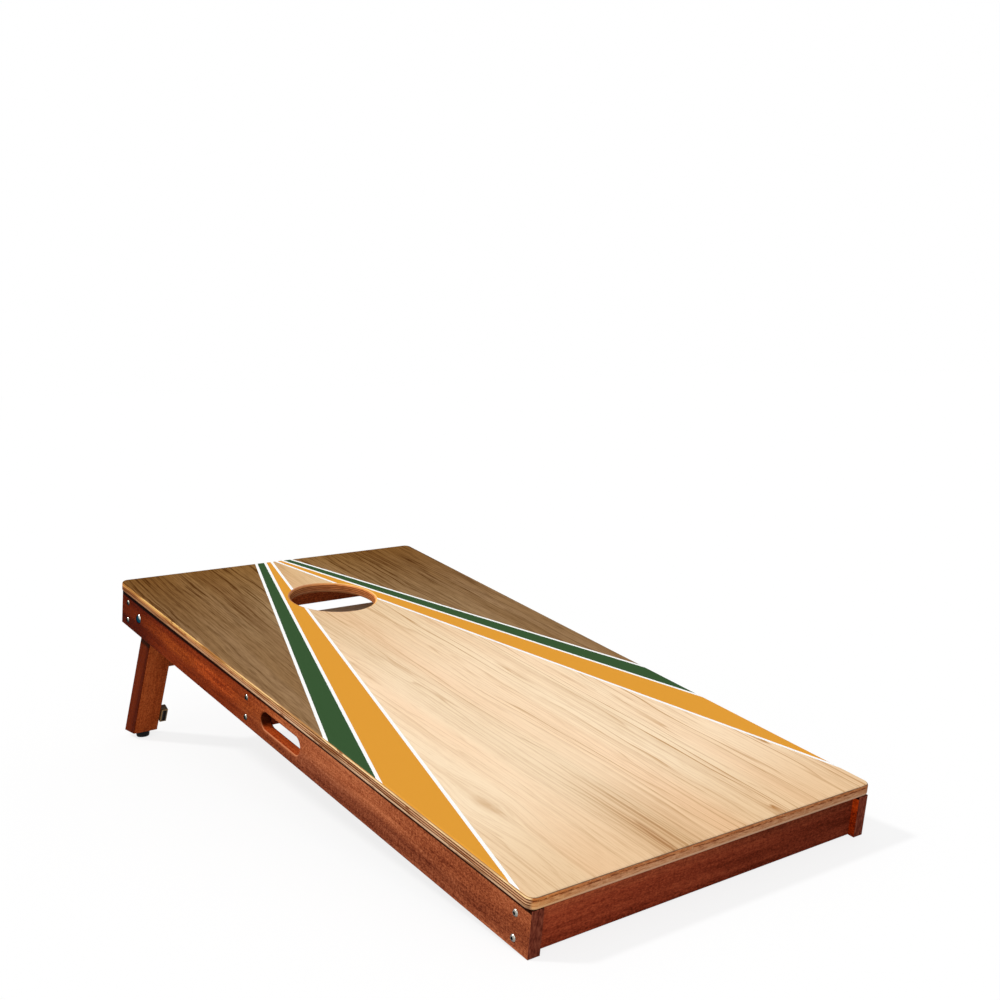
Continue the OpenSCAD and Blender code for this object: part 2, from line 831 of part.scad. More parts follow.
module catch_pole_plates() {
  color(steel) leg_place() both_sides() for (side = [-1, 1])
    pocket_block(side * (pocket_w / 2 - pole_t / 2 - screw_fit), pole_t, -pole_proud);
}

module catch_screws() {
  color(zinc) leg_place() both_sides() catch_screw_places()
    flat_head_screw(catch_screw_d, catch_screw_l, catch_screw_head_d, catch_screw_head_h);
}

deck();
left_side_rail();
right_side_rail();
front_rail();
rear_rail();
centre_brace();
front_rail_screws();
rear_rail_screws();
centre_brace_screws();
deck_screws();
left_pivot_bolt();
right_pivot_bolt();
spacer_washers();
nut_washers();
lock_nuts();
lock_nut_rings();
left_strike_plate();
right_strike_plate();
strike_plate_screws();
left_leg();
right_leg();
leg_crossbar();
crossbar_dowels();
left_foot();
right_foot();
foot_screws();
left_catch_housing();
right_catch_housing();
catch_magnets();
catch_pole_plates();
catch_screws();
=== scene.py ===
"""Looks of a cornhole board with folding legs: printed deck, woods, metal, rubber, light and camera.

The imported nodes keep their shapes. This script gives each one its finish, from patterns worked out in deck
coordinates (X across the deck, Y from its front edge to its rear edge, Z square to its top face, which is
at Z = 0) or in leg coordinates (Y to the rear, Z up along the leg, from the pivot). Lengths are in metres.

A pair whose name ends in X, Y, Z, DEPTH, HALF or SPAN is a span: what it steers starts at its first value
and is full at its second one. A SHARES pair gives how much there is at both. A TINT holds factors for red,
green and blue, and a SKIN is the depth within which a point counts as lying on a face.
"""

import json
import math

import bpy
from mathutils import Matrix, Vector

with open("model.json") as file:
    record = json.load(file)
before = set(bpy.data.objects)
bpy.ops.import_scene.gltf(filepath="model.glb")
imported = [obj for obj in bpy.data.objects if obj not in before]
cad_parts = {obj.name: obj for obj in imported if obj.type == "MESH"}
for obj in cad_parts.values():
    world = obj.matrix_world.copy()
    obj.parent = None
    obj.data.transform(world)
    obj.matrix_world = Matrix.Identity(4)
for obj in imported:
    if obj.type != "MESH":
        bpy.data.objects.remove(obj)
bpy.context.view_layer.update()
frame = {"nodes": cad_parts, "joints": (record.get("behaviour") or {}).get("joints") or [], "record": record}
nodes = frame["nodes"]
record = frame["record"]

# Camera: place in the frame, turns about X, Y and Z, and framing of the picture
CAMERA_AT = (-1.2025, -1.8211, 0.6882)
CAMERA_TURNS_DEG = (85.576, 1.267, -39.342)
CAMERA_LENS_MM = 48.71
CAMERA_SENSOR_MM = 36
CAMERA_SHIFT = (-0.0685, -0.0390)

# Light: a key from the upper left, a broad fill from the camera's side, and an even surround, which is white
# where it is seen
LAMPS = {
    "key": {"from": (-0.50, 0.42, 0.76), "strength": 1.75, "angle_deg": 7},
    "fill": {"from": (-0.45, -0.70, 0.55), "strength": 0.95, "angle_deg": 60},
}
SURROUND_SEEN = 1.0
SURROUND_STRENGTH = 0.42

# Floor: white where it is seen, with a share of glow that keeps its shadows faint, and a softer grey in the
# light that it sends back to the object
FLOOR_SIZE = 60
FLOOR_SEEN = 1.0
FLOOR_GLOW_SHARE = 0.82
FLOOR_BOUNCE = 0.42

# Lean of the legs from upright when the board stands
LEG_LEAN = math.radians(27.93)

# Middle part of a noise's range, which its values seldom leave
NOISE_SPAN = (0.3, 0.7)

ACROSS = Vector((1, 0, 0))


def srgb(red, green, blue):
    """Linear colour, with alpha, from sRGB values of 0 to 255."""
    def linear(value):
        share = value / 255
        return share / 12.92 if share <= 0.04045 else ((share + 0.055) / 1.055) ** 2.4
    return (linear(red), linear(green), linear(blue), 1.0)


def mount(name):
    return next(m for m in record["mounts"] if m["name"] == name)


def extent(node, axis):
    """Lowest and highest reach of a node's mesh along a direction."""
    along = [v.co.dot(axis) for v in nodes[node].data.vertices]
    return min(along), max(along)


# Deck coordinates, from the face mount on the deck's top and the deck's own extent
deck_normal = Vector(mount("deck_top")["axis"]).normalized()
deck_along = Vector((0, deck_normal.z, -deck_normal.y))
deck_front, deck_rear = extent("deck", deck_along)
deck_under, deck_top = extent("deck", deck_normal)
deck_left, deck_right = extent("deck", ACROSS)
deck_length = deck_rear - deck_front
deck_width = deck_right - deck_left
deck_thickness = deck_top - deck_under
deck_tilt = math.atan2(deck_along.z, deck_along.y)
deck_origin = deck_along * deck_front + deck_normal * deck_top
hole = mount("bag_hole")
hole_y = Vector(hole["pos_m"]).dot(deck_along) - deck_front
hole_radius = hole["dims"]["r_mm"] / 1000
rail_front, rail_rear = [value - deck_front for value in extent("left_side_rail", deck_along)]
rail_bottom = extent("left_side_rail", deck_normal)[0] - deck_top
rail_inner_x = extent("right_side_rail", ACROSS)[0]

# Leg coordinates, from the hinge
pivot = Vector(frame["joints"][0]["pos_m"])
leg_up = Vector((0, -math.sin(LEG_LEAN), math.cos(LEG_LEAN)))
leg_rear = Vector((0, leg_up.z, -leg_up.y))
leg_outer_x = extent("right_leg", ACROSS)[1]
bar_top = extent("leg_crossbar", leg_up)[1] - pivot.dot(leg_up)
catch_front = extent("left_catch_housing", leg_rear)[0] - pivot.dot(leg_rear)


class NodeTree:
    """The node tree of a material or of the world, with short calls that add nodes and link them."""

    def __init__(self, owner):
        owner.use_nodes = True
        self.tree = owner.node_tree

    def feed(self, socket, value):
        """Sets a socket's own value, or links another node's output to it."""
        if isinstance(value, bpy.types.NodeSocket):
            self.tree.links.new(value, socket)
        else:
            socket.default_value = value

    def node(self, kind, inputs=(), **settings):
        made = self.tree.nodes.new("ShaderNode" + kind)
        for key, value in settings.items():
            setattr(made, key, value)
        for key, value in dict(inputs).items():
            self.feed(made.inputs[key], value)
        return made

    def math(self, operation, first, second=0.0, third=0.0):
        inputs = {0: first, 1: second, 2: third}
        return self.node("Math", inputs, operation=operation).outputs["Value"]

    def product(self, first, second):
        return self.math("MULTIPLY", first, second)

    def minus(self, first, second):
        return self.math("SUBTRACT", first, second)

    def size(self, value):
        return self.math("ABSOLUTE", value)

    def apart(self, first, second):
        """How far two values lie from each other."""
        return self.size(self.minus(first, second))

    def remap(self, value, span, to=(0.0, 1.0), smooth=False):
        """Goes from one end of `to` to the other while the value crosses the span, and holds beyond it."""
        kind = "SMOOTHSTEP" if smooth else "LINEAR"
        inputs = {0: value, 1: span[0], 2: span[1], 3: to[0], 4: to[1]}
        return self.node("MapRange", inputs, interpolation_type=kind, clamp=True).outputs[0]

    def total(self, *terms):
        """Sum of (value, weight) pairs."""
        value = 0.0
        for term, weight in terms:
            value = self.math("MULTIPLY_ADD", term, weight, value)
        return value

    def seen_directly(self):
        """1 for rays from the camera, or by way of a mirror or glass, and 0 for other rays."""
        rays = self.node("LightPath").outputs
        seen = rays["Is Camera Ray"]
        for name in ("Is Glossy Ray", "Is Transmission Ray"):
            seen = self.math("MAXIMUM", seen, rays[name])
        return seen


class Shader(NodeTree):
    """A material with one surface, and calls for the patterns that it shows."""

    def __init__(self, name):
        self.material = bpy.data.materials.new(name)
        super().__init__(self.material)
        self.surface = self.tree.nodes["Principled BSDF"]

    def finish(self, **values):
        """Sets the surface's inputs, named with underscores, and gives the material."""
        for key, value in values.items():
            self.feed(self.surface.inputs[key.replace("_", " ")], value)
        return self.material

    def measured_from(self, origin, turn_x):
        """The object's own coordinates, measured from an origin and turned about X."""
        where = self.node("TexCoord").outputs["Object"]
        inputs = {"Vector": where, "Location": origin, "Rotation": (turn_x, 0, 0)}
        return self.node("Mapping", inputs, vector_type="TEXTURE").outputs["Vector"]

    def deck_place(self):
        return self.measured_from(deck_origin, deck_tilt)

    def leg_place(self):
        return self.measured_from(pivot, LEG_LEAN)

    def split(self, vector):
        return self.node("SeparateXYZ", {"Vector": vector}).outputs[:3]

    def join(self, x, y, z):
        return self.node("CombineXYZ", {"X": x, "Y": y, "Z": z}).outputs["Vector"]

    def vector_math(self, operation, *vectors):
        """Outputs of a vector maths node, named Vector and Value."""
        return self.node("VectorMath", enumerate(vectors), operation=operation).outputs

    def length(self, vector):
        return self.vector_math("LENGTH", vector)["Value"]

    def facing(self, direction):
        """Dot product of the surface's normal and a direction."""
        normal = self.node("NewGeometry").outputs["Normal"]
        return self.vector_math("DOT_PRODUCT", normal, direction)["Value"]

    def mix(self, share, first, second, blend="MIX"):
        """Blends two colours. A Mix node's colours are its inputs 6 and 7 and its output 2."""
        inputs = {0: share, 6: first, 7: second}
        return self.node("Mix", inputs, data_type="RGBA", blend_type=blend).outputs[2]

    def tint(self, share, colour, factors):
        """Multiplies a colour by factors for red, green and blue, by a share."""
        return self.mix(share, colour, self.mix(1.0, colour, (*factors, 1), "MULTIPLY"))

    def ramp(self, value, stops):
        """Colours along a value, from (place, colour) pairs."""
        made = self.node("ValToRGB", {"Fac": value})
        elements = made.color_ramp.elements
        while len(elements) < len(stops):
            elements.new(0.5)
        for element, (place, colour) in zip(elements, stops):
            element.position = place
            element.color = colour
        return made.outputs["Color"]

    def spread(self, value, tones, span=(0.0, 1.0)):
        """Colours at even places of a value's span."""
        step = (span[1] - span[0]) / (len(tones) - 1)
        return self.ramp(value, [(span[0] + step * number, tone) for number, tone in enumerate(tones)])

    def noise(self, vector, per_metre, seed, detail=3, roughness=0.55):
        """Noise whose repeats per metre are given for each axis."""
        scaled = self.vector_math("MULTIPLY_ADD", vector, per_metre, (seed, 2 * seed, 3 * seed))["Vector"]
        inputs = {"Vector": scaled, "Scale": 1.0, "Detail": detail, "Roughness": roughness}
        return self.node("TexNoise", inputs).outputs["Fac"]

    def wander(self, vector, per_metre, sway, seed):
        """Bends the grain: moves points sideways, in X and Z, by slow noise."""
        drift = self.noise(vector, per_metre, seed, detail=2)
        shift = self.math("MULTIPLY_ADD", drift, 2 * sway, -sway)
        return self.vector_math("ADD", vector, self.join(shift, 0.0, shift))["Vector"]

    def bump(self, height, depth, strength=0.5):
        inputs = {"Height": height, "Distance": depth, "Strength": strength}
        return self.node("Bump", inputs).outputs["Normal"]


def set_camera():
    data = bpy.data.cameras.new("photo_camera")
    data.lens = CAMERA_LENS_MM
    data.sensor_width = CAMERA_SENSOR_MM
    data.shift_x, data.shift_y = CAMERA_SHIFT
    camera = bpy.data.objects.new("photo_camera", data)
    camera.location = CAMERA_AT
    camera.rotation_euler = [math.radians(turn) for turn in CAMERA_TURNS_DEG]
    bpy.context.scene.collection.objects.link(camera)
    bpy.context.scene.camera = camera


def set_light():
    scene = bpy.context.scene
    scene.view_settings.view_transform = "Standard"
    for name, values in LAMPS.items():
        sun = bpy.data.lights.new(name, "SUN")
        sun.energy = values["strength"]
        sun.angle = math.radians(values["angle_deg"])
        lamp = bpy.data.objects.new(name, sun)
        lamp.rotation_euler = Vector(values["from"]).to_track_quat("Z", "Y").to_euler()
        scene.collection.objects.link(lamp)

    scene.world = bpy.data.worlds.new("studio")
    sky = NodeTree(scene.world)
    strength = sky.remap(sky.seen_directly(), (0.0, 1.0), (SURROUND_STRENGTH, SURROUND_SEEN))
    background = sky.tree.nodes["Background"]
    sky.feed(background.inputs["Color"], (1, 1, 1, 1))
    sky.feed(background.inputs["Strength"], strength)


def set_floor():
    bpy.ops.mesh.primitive_plane_add(size=FLOOR_SIZE)
    floor = bpy.context.object
    floor.name = "floor"
    material = bpy.data.materials.new("pale_floor")
    floor.data.materials.append(material)
    paint = NodeTree(material)
    paint.tree.nodes.remove(paint.tree.nodes["Principled BSDF"])
    seen = paint.seen_directly()
    level = paint.remap(seen, (0.0, 1.0), (FLOOR_BOUNCE, FLOOR_SEEN))
    coat = paint.node("BsdfDiffuse", {"Color": level}).outputs["BSDF"]
    glow = paint.node("Emission").outputs["Emission"]
    share = paint.product(seen, FLOOR_GLOW_SHARE)
    both = paint.node("MixShader", {"Fac": share, 1: coat, 2: glow}).outputs["Shader"]
    paint.feed(paint.tree.nodes["Material Output"].inputs["Surface"], both)


# Growth rings: where in each ring its line is darkest and where it ends, and how the lines come and go
RING_PEAK = 0.93
RING_END_SPAN = (1.0, 0.94)
RING_FADE_RATES = (32, 1.5, 0)
RING_FADE_SPAN = (0.40, 0.64)
RING_FADE_SHARES = (0.05, 1.0)


def grain_lines(shader, grain, per_metre, start, warp, warp_rates, seed):
    """Growth rings cut along the board: each line darkens slowly, ends sharply, and fades in and out."""
    drift = shader.noise(grain, warp_rates, seed, detail=2)
    count = shader.product(shader.split(grain)[0], per_metre)
    ring = shader.math("FRACT", shader.math("MULTIPLY_ADD", drift, warp, count))
    line = shader.product(shader.remap(ring, (start, RING_PEAK)), shader.remap(ring, RING_END_SPAN))
    fade = shader.noise(grain, RING_FADE_RATES, seed + 3.7, detail=2)
    return shader.product(line, shader.remap(fade, RING_FADE_SPAN, RING_FADE_SHARES))


# Pale print: its wood, the spans where it changes, a knot that the grain bends around, which is longer along
# the grain by its slimness, and a dark heart streak near the front
MAPLE_TONES = [srgb(255, 223, 187), srgb(255, 227, 192), srgb(255, 231, 197)]
MAPLE_DARK = srgb(196, 148, 96)
MAPLE_FIGURE_X = (-0.14, 0.14)
MAPLE_FIGURE_SHARES = (0.34, 1.10)
MAPLE_REAR_Y = (0.60, 1.20)
MAPLE_REAR_TINT = (0.74, 0.61, 0.44)
MAPLE_FRONT_Y = (0.25, 0.0)
MAPLE_FRONT_TINT = (0.86, 0.77, 0.67)
KNOT_AT = (-0.218, 0.211)
KNOT_HALF = (0.018, 0.0)
KNOT_BEND_HALF = (0.060, 0.0)
KNOT_BEND = 0.8
KNOT_SLIMNESS = 0.45
HEART_AT_X = -0.066
HEART_HALF = (0.060, 0.018)
HEART_Y = (0.28, 0.06)
HEART_SHARES = (0.22, 1.0)
HEART_TINT = (0.66, 0.53, 0.40)


def around_knot(shader, place):
    """Spreads the grain lines sideways around the knot, and gives how near its middle is."""
    x, y, _ = shader.split(place)
    aside = shader.minus(x, KNOT_AT[0])
    away = shader.product(shader.minus(y, KNOT_AT[1]), KNOT_SLIMNESS)
    distance = shader.length(shader.join(aside, away, 0.0))
    pull = shader.product(aside, shader.remap(distance, KNOT_BEND_HALF, smooth=True))
    bent = shader.join(shader.math("MULTIPLY_ADD", pull, -KNOT_BEND, x), y, 0.0)
    return bent, shader.remap(distance, KNOT_HALF, smooth=True)


def printed_maple(shader, place):
    """Pale wood print of the middle field, darker towards both ends of the deck."""
    x, y, _ = shader.split(place)
    grain, knot = around_knot(shader, shader.wander(place, (4, 2.8, 0), sway=0.007, seed=3.1))
    broad = shader.noise(grain, (11, 0.8, 0), seed=1.7, detail=2)
    smudge = shader.noise(grain, (34, 5.0, 0), seed=6.4)
    band = shader.noise(grain, (80, 1.2, 0), seed=4.1, roughness=0.6)
    streak = shader.noise(grain, (260, 2.0, 0), seed=8.9, roughness=0.6)
    fibre = shader.noise(grain, (620, 30, 0), seed=9.1, detail=2)
    lines = grain_lines(shader, grain, 62, start=0.72, warp=6, warp_rates=(24, 1.7, 0), seed=2.6)
    fine_lines = grain_lines(shader, grain, 170, start=0.58, warp=8, warp_rates=(40, 1.8, 0), seed=5.2)
    figure = shader.total(
        (lines, 0.84),
        (fine_lines, 0.30),
        (shader.remap(band, (0.54, 0.70)), 0.20),
    )
    dark = shader.total(
        (shader.product(figure, shader.remap(x, MAPLE_FIGURE_X, MAPLE_FIGURE_SHARES)), 1.0),
        (shader.remap(streak, (0.51, 0.68)), 0.22),
        (shader.remap(smudge, (0.55, 0.75)), 0.12),
        (shader.remap(fibre, (0.52, 0.70)), 0.17),
        (knot, 0.22),
    )
    wood = shader.mix(dark, shader.spread(shader.remap(broad, (0.34, 0.62)), MAPLE_TONES), MAPLE_DARK)
    wood = shader.tint(shader.remap(y, MAPLE_REAR_Y), wood, MAPLE_REAR_TINT)
    wood = shader.tint(shader.remap(y, MAPLE_FRONT_Y, smooth=True), wood, MAPLE_FRONT_TINT)
    from_heart = shader.apart(shader.split(grain)[0], HEART_AT_X)
    heart = shader.product(shader.remap(from_heart, HEART_HALF), shader.remap(y, HEART_Y, HEART_SHARES))
    heart = shader.product(heart, shader.remap(streak, (0.42, 0.60), (0.40, 1.0)))
    return shader.tint(heart, wood, HEART_TINT)


# Brown print: its wood, the sideways lean of the left field's grain, and the spans where it changes
WALNUT_TONES = [srgb(138, 103, 67), srgb(150, 116, 78), srgb(160, 127, 91)]
WALNUT_DARK = srgb(84, 51, 21)
WALNUT_LEAN = 0.06
WALNUT_LEAN_X = (-0.05, 0.05)
WALNUT_FIGURE_Y = (0.80, 1.15)
WALNUT_FIGURE_SHARES = (0.52, 1.30)
WALNUT_REAR_Y = (0.86, 1.28)
WALNUT_REAR_TINT = (0.76, 0.59, 0.33)
WALNUT_INNER_X = (0.26, 0.13)
WALNUT_INNER_TINT = (1.26, 1.40, 1.58)


def printed_walnut(shader, place):
    """Brown wood print of the side fields, darker and warmer towards the rear, and paler near the middle."""
    x, y, _ = shader.split(place)
    lean = shader.remap(x, WALNUT_LEAN_X, (-WALNUT_LEAN, 0.0))
    leaning = shader.join(shader.math("MULTIPLY_ADD", y, lean, x), y, 0.0)
    grain = shader.wander(leaning, (8, 4.2, 0), sway=0.010, seed=7.7)
    broad = shader.noise(grain, (18, 1.2, 0), seed=2.9, detail=2)
    streak = shader.noise(grain, (190, 6.0, 0), seed=3.3, detail=4, roughness=0.62)
    fibre = shader.noise(grain, (600, 30, 0), seed=4.3, detail=2)
    lines = grain_lines(shader, grain, 64, start=0.62, warp=3, warp_rates=(15, 2.0, 0), seed=4.8)
    fine_lines = grain_lines(shader, grain, 190, start=0.55, warp=4, warp_rates=(30, 2.2, 0), seed=7.1)
    figure = shader.total(
        (lines, 0.56),
        (fine_lines, 0.46),
        (shader.remap(streak, (0.48, 0.66)), 0.52),
    )
    dark = shader.total(
        (shader.product(figure, shader.remap(y, WALNUT_FIGURE_Y, WALNUT_FIGURE_SHARES)), 1.0),
        (shader.remap(fibre, (0.42, 0.72)), 0.40),
    )
    wood = shader.mix(dark, shader.spread(shader.remap(broad, (0.32, 0.68)), WALNUT_TONES), WALNUT_DARK)
    wood = shader.tint(shader.remap(y, WALNUT_REAR_Y, smooth=True), wood, WALNUT_REAR_TINT)
    inner = shader.remap(shader.size(x), WALNUT_INNER_X, smooth=True)
    return shader.tint(inner, wood, WALNUT_INNER_TINT)


# Bands of the print: they start near the middle of the rear edge and spread towards the front. Each edge has
# its distance from the print's middle line at the rear and how much that grows per length, and a white line
# follows it. The middle line starts aside by the shift, and turns away by the turn.
PRINT_SHIFT = -0.0030
PRINT_TURN = 0.0054
PRINT_LINE_W = 0.0054
PRINT_WHITE = srgb(255, 255, 254)
PRINT_YELLOW = srgb(226, 157, 57)
PRINT_GREEN = srgb(58, 87, 53)
BAND_EDGES = {
    "maple": {"at_rear": 0.0011, "spread": 0.2554},
    "yellow": {"at_rear": 0.0144, "spread": 0.3240},
    "green": {"at_rear": 0.0330, "spread": 0.3598},
}


def printed_top(shader, place):
    """The deck's print: two wood fields with white, green and yellow bands that spread from the rear."""
    x, y, _ = shader.split(place)
    from_rear = shader.minus(deck_length, y)
    middle = shader.math("MULTIPLY_ADD", from_rear, PRINT_TURN, PRINT_SHIFT)
    aside = shader.apart(x, middle)
    colour = printed_maple(shader, place)
    outside = {"maple": PRINT_YELLOW, "yellow": PRINT_GREEN, "green": printed_walnut(shader, place)}
    for band, edge in BAND_EDGES.items():
        limit = shader.math("MULTIPLY_ADD", from_rear, edge["spread"], edge["at_rear"])
        past = shader.minus(aside, limit)
        colour = shader.mix(shader.math("GREATER_THAN", past, 0.0), colour, PRINT_WHITE)
        colour = shader.mix(shader.math("GREATER_THAN", past, PRINT_LINE_W), colour, outside[band])
    return colour


# Plywood: depths of the dark plies below the top, half their thickness, the soft change beside them, the
# light plies between them, and how far the layers wave up and down
PLY_DARK_DEPTHS = (0.0042, 0.0076, 0.0107)
PLY_DARK_HALF_W = 0.0006
PLY_SOFT_W = 0.0003
PLY_LIGHT_W = 0.0016
PLY_WAVE = 0.0003


def ply_layers(shader, depth, tones):
    """Colours by depth below the deck's top: a top ply, dark plies between light ones, and a low ply."""
    before = PLY_DARK_DEPTHS[0] - PLY_DARK_HALF_W - PLY_SOFT_W
    stops = [(0.0, tones["top"]), (before, tones["top"])]
    for middle in PLY_DARK_DEPTHS:
        stops.append((middle - PLY_DARK_HALF_W, tones["dark"]))
        stops.append((middle + PLY_DARK_HALF_W, tones["dark"]))
        after = middle + PLY_DARK_HALF_W + PLY_SOFT_W
        if middle < PLY_DARK_DEPTHS[-1]:
            stops.append((after, tones["light"]))
            stops.append((after + PLY_LIGHT_W, tones["light"]))
        else:
            stops.append((after, tones["low"]))
    share = shader.math("DIVIDE", depth, deck_thickness)
    return shader.ramp(share, [(place / deck_thickness, colour) for place, colour in stops])


# Print at the deck's edges: how deep it reaches over them in front and at the rear, and a thin rim line
FRONT_PRINT_SKIN = 0.0009
REAR_PRINT_SKIN = 0.0020
PRINT_SKIN_Y = (0.45, 0.95)
RIM_LINE_DEPTH = (0.0019, 0.0014)

# Long deck edges: clear plies in front, an even orange fade to the rear by shares of the thickness, streaks,
# a painted shade on the rounded lower edge, lighter at the rear, and specks
SIDE_PLIES = {
    # The top ply's cream is partly its pale veneer and partly a painted highlight on the rounded top edge.
    "top": srgb(255, 216, 158),
    "light": srgb(232, 178, 132),
    "dark": srgb(112, 56, 26),
    "low": srgb(234, 194, 156),
}
SIDE_FADE_Y = (0.45, 0.95)
SIDE_FADE_SHARES = (0.0, 0.78)
# The bright stops near the top of this fade are partly a painted highlight on the rounded top edge.
SIDE_FADE_STOPS = [
    (0.12, srgb(240, 170, 92)),
    (0.18, srgb(255, 206, 120)),
    (0.26, srgb(255, 194, 108)),
    (0.40, srgb(230, 156, 92)),
    (0.60, srgb(176, 116, 70)),
    (0.76, srgb(190, 136, 92)),
]
SIDE_STREAK_TINT = (0.50, 0.36, 0.26)
SIDE_FAR_Y = (1.00, 1.15)
SIDE_FAR_DEPTH = (0.004, 0.009)
SIDE_FAR_TINT = (0.72, 0.66, 0.62)
SIDE_UNDER_SHADE_DEPTH = (0.0140, 0.0156)
SIDE_UNDER_SHADE_Y = (0.58, 0.72)
SIDE_UNDER_SHADE_FRONT = srgb(112, 55, 33)
SIDE_UNDER_SHADE_REAR = srgb(172, 114, 78)
SIDE_RIM_LINE = srgb(176, 128, 82)
SIDE_SPECK = srgb(134, 66, 24)
SIDE_SPECK_SHARE = 0.8


def side_edge(shader, place, depth):
    """Long deck edges: clear plies in front, an even orange fade at the rear, painted shade on the lower
    edge.
    """
    y = shader.split(place)[1]
    clear = ply_layers(shader, depth, SIDE_PLIES)
    rear = shader.ramp(shader.math("DIVIDE", depth, deck_thickness), SIDE_FADE_STOPS)
    edge = shader.mix(shader.remap(y, SIDE_FADE_Y, SIDE_FADE_SHARES), clear, rear)
    streak = shader.noise(place, (30, 8, 190), seed=6.9)
    edge = shader.tint(shader.remap(streak, (0.50, 0.62)), edge, SIDE_STREAK_TINT)
    far = shader.product(shader.remap(y, SIDE_FAR_Y), shader.remap(depth, SIDE_FAR_DEPTH))
    edge = shader.tint(far, edge, SIDE_FAR_TINT)
    # Painted shade on the rounded lower edge, which turns away from the light.
    lower = shader.mix(shader.remap(y, SIDE_UNDER_SHADE_Y), SIDE_UNDER_SHADE_FRONT, SIDE_UNDER_SHADE_REAR)
    edge = shader.mix(shader.remap(depth, SIDE_UNDER_SHADE_DEPTH), edge, lower)
    edge = shader.mix(shader.remap(depth, RIM_LINE_DEPTH), edge, SIDE_RIM_LINE)
    specks = shader.remap(shader.noise(place, (60, 34, 190), seed=12.7, detail=2), (0.64, 0.70))
    return shader.mix(shader.product(specks, SIDE_SPECK_SHARE), edge, SIDE_SPECK)


# Short deck edges: tones above and below a dark broken line, flecks, a pale lowest ply, and end shades
END_UPPER_TONES = [srgb(158, 86, 46), srgb(206, 126, 76), srgb(232, 158, 104)]
END_LOWER_TONES = [srgb(176, 110, 72), srgb(222, 154, 108), srgb(246, 188, 140)]
END_CHANGE_DEPTH = (0.0054, 0.0076)
END_LINE_AT = 0.0052
END_LINE_HALF = (0.0009, 0.0004)
END_LINE = srgb(116, 58, 32)
END_FLECK_SHARES = (0.0, 0.5)
END_PALE_FLECK = srgb(250, 214, 160)
END_DARK_FLECK = srgb(122, 88, 40)
END_LOWEST_DEPTH = (0.0122, 0.0136)
END_LOWEST = srgb(244, 192, 152)
END_RIGHT_X = (-0.25, 0.25)
END_RIGHT_TINT = (0.80, 0.82, 0.86)
END_LEFT_X = (-0.20, -0.30)
END_LEFT_TINT = (1.10, 1.06, 0.80)
END_RIM_LINE = srgb(124, 98, 76)


def end_edge(shader, place, depth):
    """Short deck edges: end grain with dashes, orange-brown above and tan below."""
    x = shader.split(place)[0]
    dash = shader.noise(place, (110, 110, 620), seed=3.7, detail=4, roughness=0.65)
    flecks = shader.noise(place, (420, 420, 160), seed=8.1)
    upper = shader.spread(dash, END_UPPER_TONES, NOISE_SPAN)
    lower = shader.spread(dash, END_LOWER_TONES, NOISE_SPAN)
    edge = shader.mix(shader.remap(depth, END_CHANGE_DEPTH), upper, lower)
    line = shader.remap(shader.apart(depth, END_LINE_AT), END_LINE_HALF)
    edge = shader.mix(shader.product(line, shader.remap(dash, (0.58, 0.42))), edge, END_LINE)
    edge = shader.mix(shader.remap(flecks, (0.62, 0.74), END_FLECK_SHARES), edge, END_PALE_FLECK)
    edge = shader.mix(shader.remap(flecks, (0.36, 0.28), END_FLECK_SHARES), edge, END_DARK_FLECK)
    edge = shader.mix(shader.remap(depth, END_LOWEST_DEPTH), edge, END_LOWEST)
    edge = shader.tint(shader.remap(x, END_RIGHT_X), edge, END_RIGHT_TINT)
    edge = shader.tint(shader.remap(x, END_LEFT_X), edge, END_LEFT_TINT)
    return shader.mix(shader.remap(depth, RIM_LINE_DEPTH), edge, END_RIM_LINE)


# Change from the long edges' look to the short ones', by how much further off the short edges are
EDGE_CHANGE_SPAN = (0.002, -0.003)


def ply_edges(shader, place):
    """Edges of the deck, with one look for the long ones and another for the short ones."""
    x, y, z = shader.split(place)
    drift = shader.noise(place, (4, 4, 0), seed=2.3, detail=2)
    wave = shader.math("MULTIPLY_ADD", drift, 2 * PLY_WAVE, -PLY_WAVE)
    depth = shader.minus(wave, z)
    to_end = shader.math("MINIMUM", y, shader.minus(deck_length, y))
    to_side = shader.minus(deck_width / 2, shader.size(x))
    at_end = shader.remap(shader.minus(to_end, to_side), EDGE_CHANGE_SPAN)
    return shader.mix(at_end, side_edge(shader, place, depth), end_edge(shader, place, depth))


# Bag hole: its plies, with painted light on the wall's right side, and its rounded rim, painted from shade
# on the left to a highlight on the right, by how far a point is past the radius
HOLE_PLIES = {
    "top": srgb(222, 148, 92),
    "light": srgb(206, 132, 82),
    "dark": srgb(148, 88, 52),
    "low": srgb(192, 126, 84),
}
HOLE_STREAK_TINT = (0.62, 0.54, 0.46)
HOLE_LIT_X = (-0.02, 0.06)
HOLE_LIT_TINT = (1.26, 1.14, 0.98)
HOLE_RIM_SPAN = (0.0008, 0.0020)
HOLE_RIM_SHADED = srgb(200, 134, 96)
HOLE_RIM_HIGHLIGHT = srgb(255, 200, 124)
HOLE_RIM_END = 0.0038


def hole_wall(shader, place, past_hole):
    """Wall of the bag hole: faint plies, painted lighter on the right, and a rim with a painted highlight
    there.
    """
    x, _, z = shader.split(place)
    wall = ply_layers(shader, shader.product(z, -1.0), HOLE_PLIES)
    streak = shader.noise(place, (80, 80, 420), seed=4.9, detail=4)
    wall = shader.tint(shader.remap(streak, (0.35, 0.70)), wall, HOLE_STREAK_TINT)
    # Painted light: the wall and rim on the right, which face the light, are lighter, and the rim there is a
    # highlight.
    right = shader.remap(x, HOLE_LIT_X)
    wall = shader.tint(right, wall, HOLE_LIT_TINT)
    rim = shader.mix(right, HOLE_RIM_SHADED, HOLE_RIM_HIGHLIGHT)
    return shader.mix(shader.remap(past_hole, HOLE_RIM_SPAN), wall, rim)


# Underside of the deck
VENEER_TONES = [srgb(198, 154, 106), srgb(230, 192, 144)]
VENEER_RING_TINT = (0.78, 0.67, 0.54)
VENEER_SKIN = 0.0002


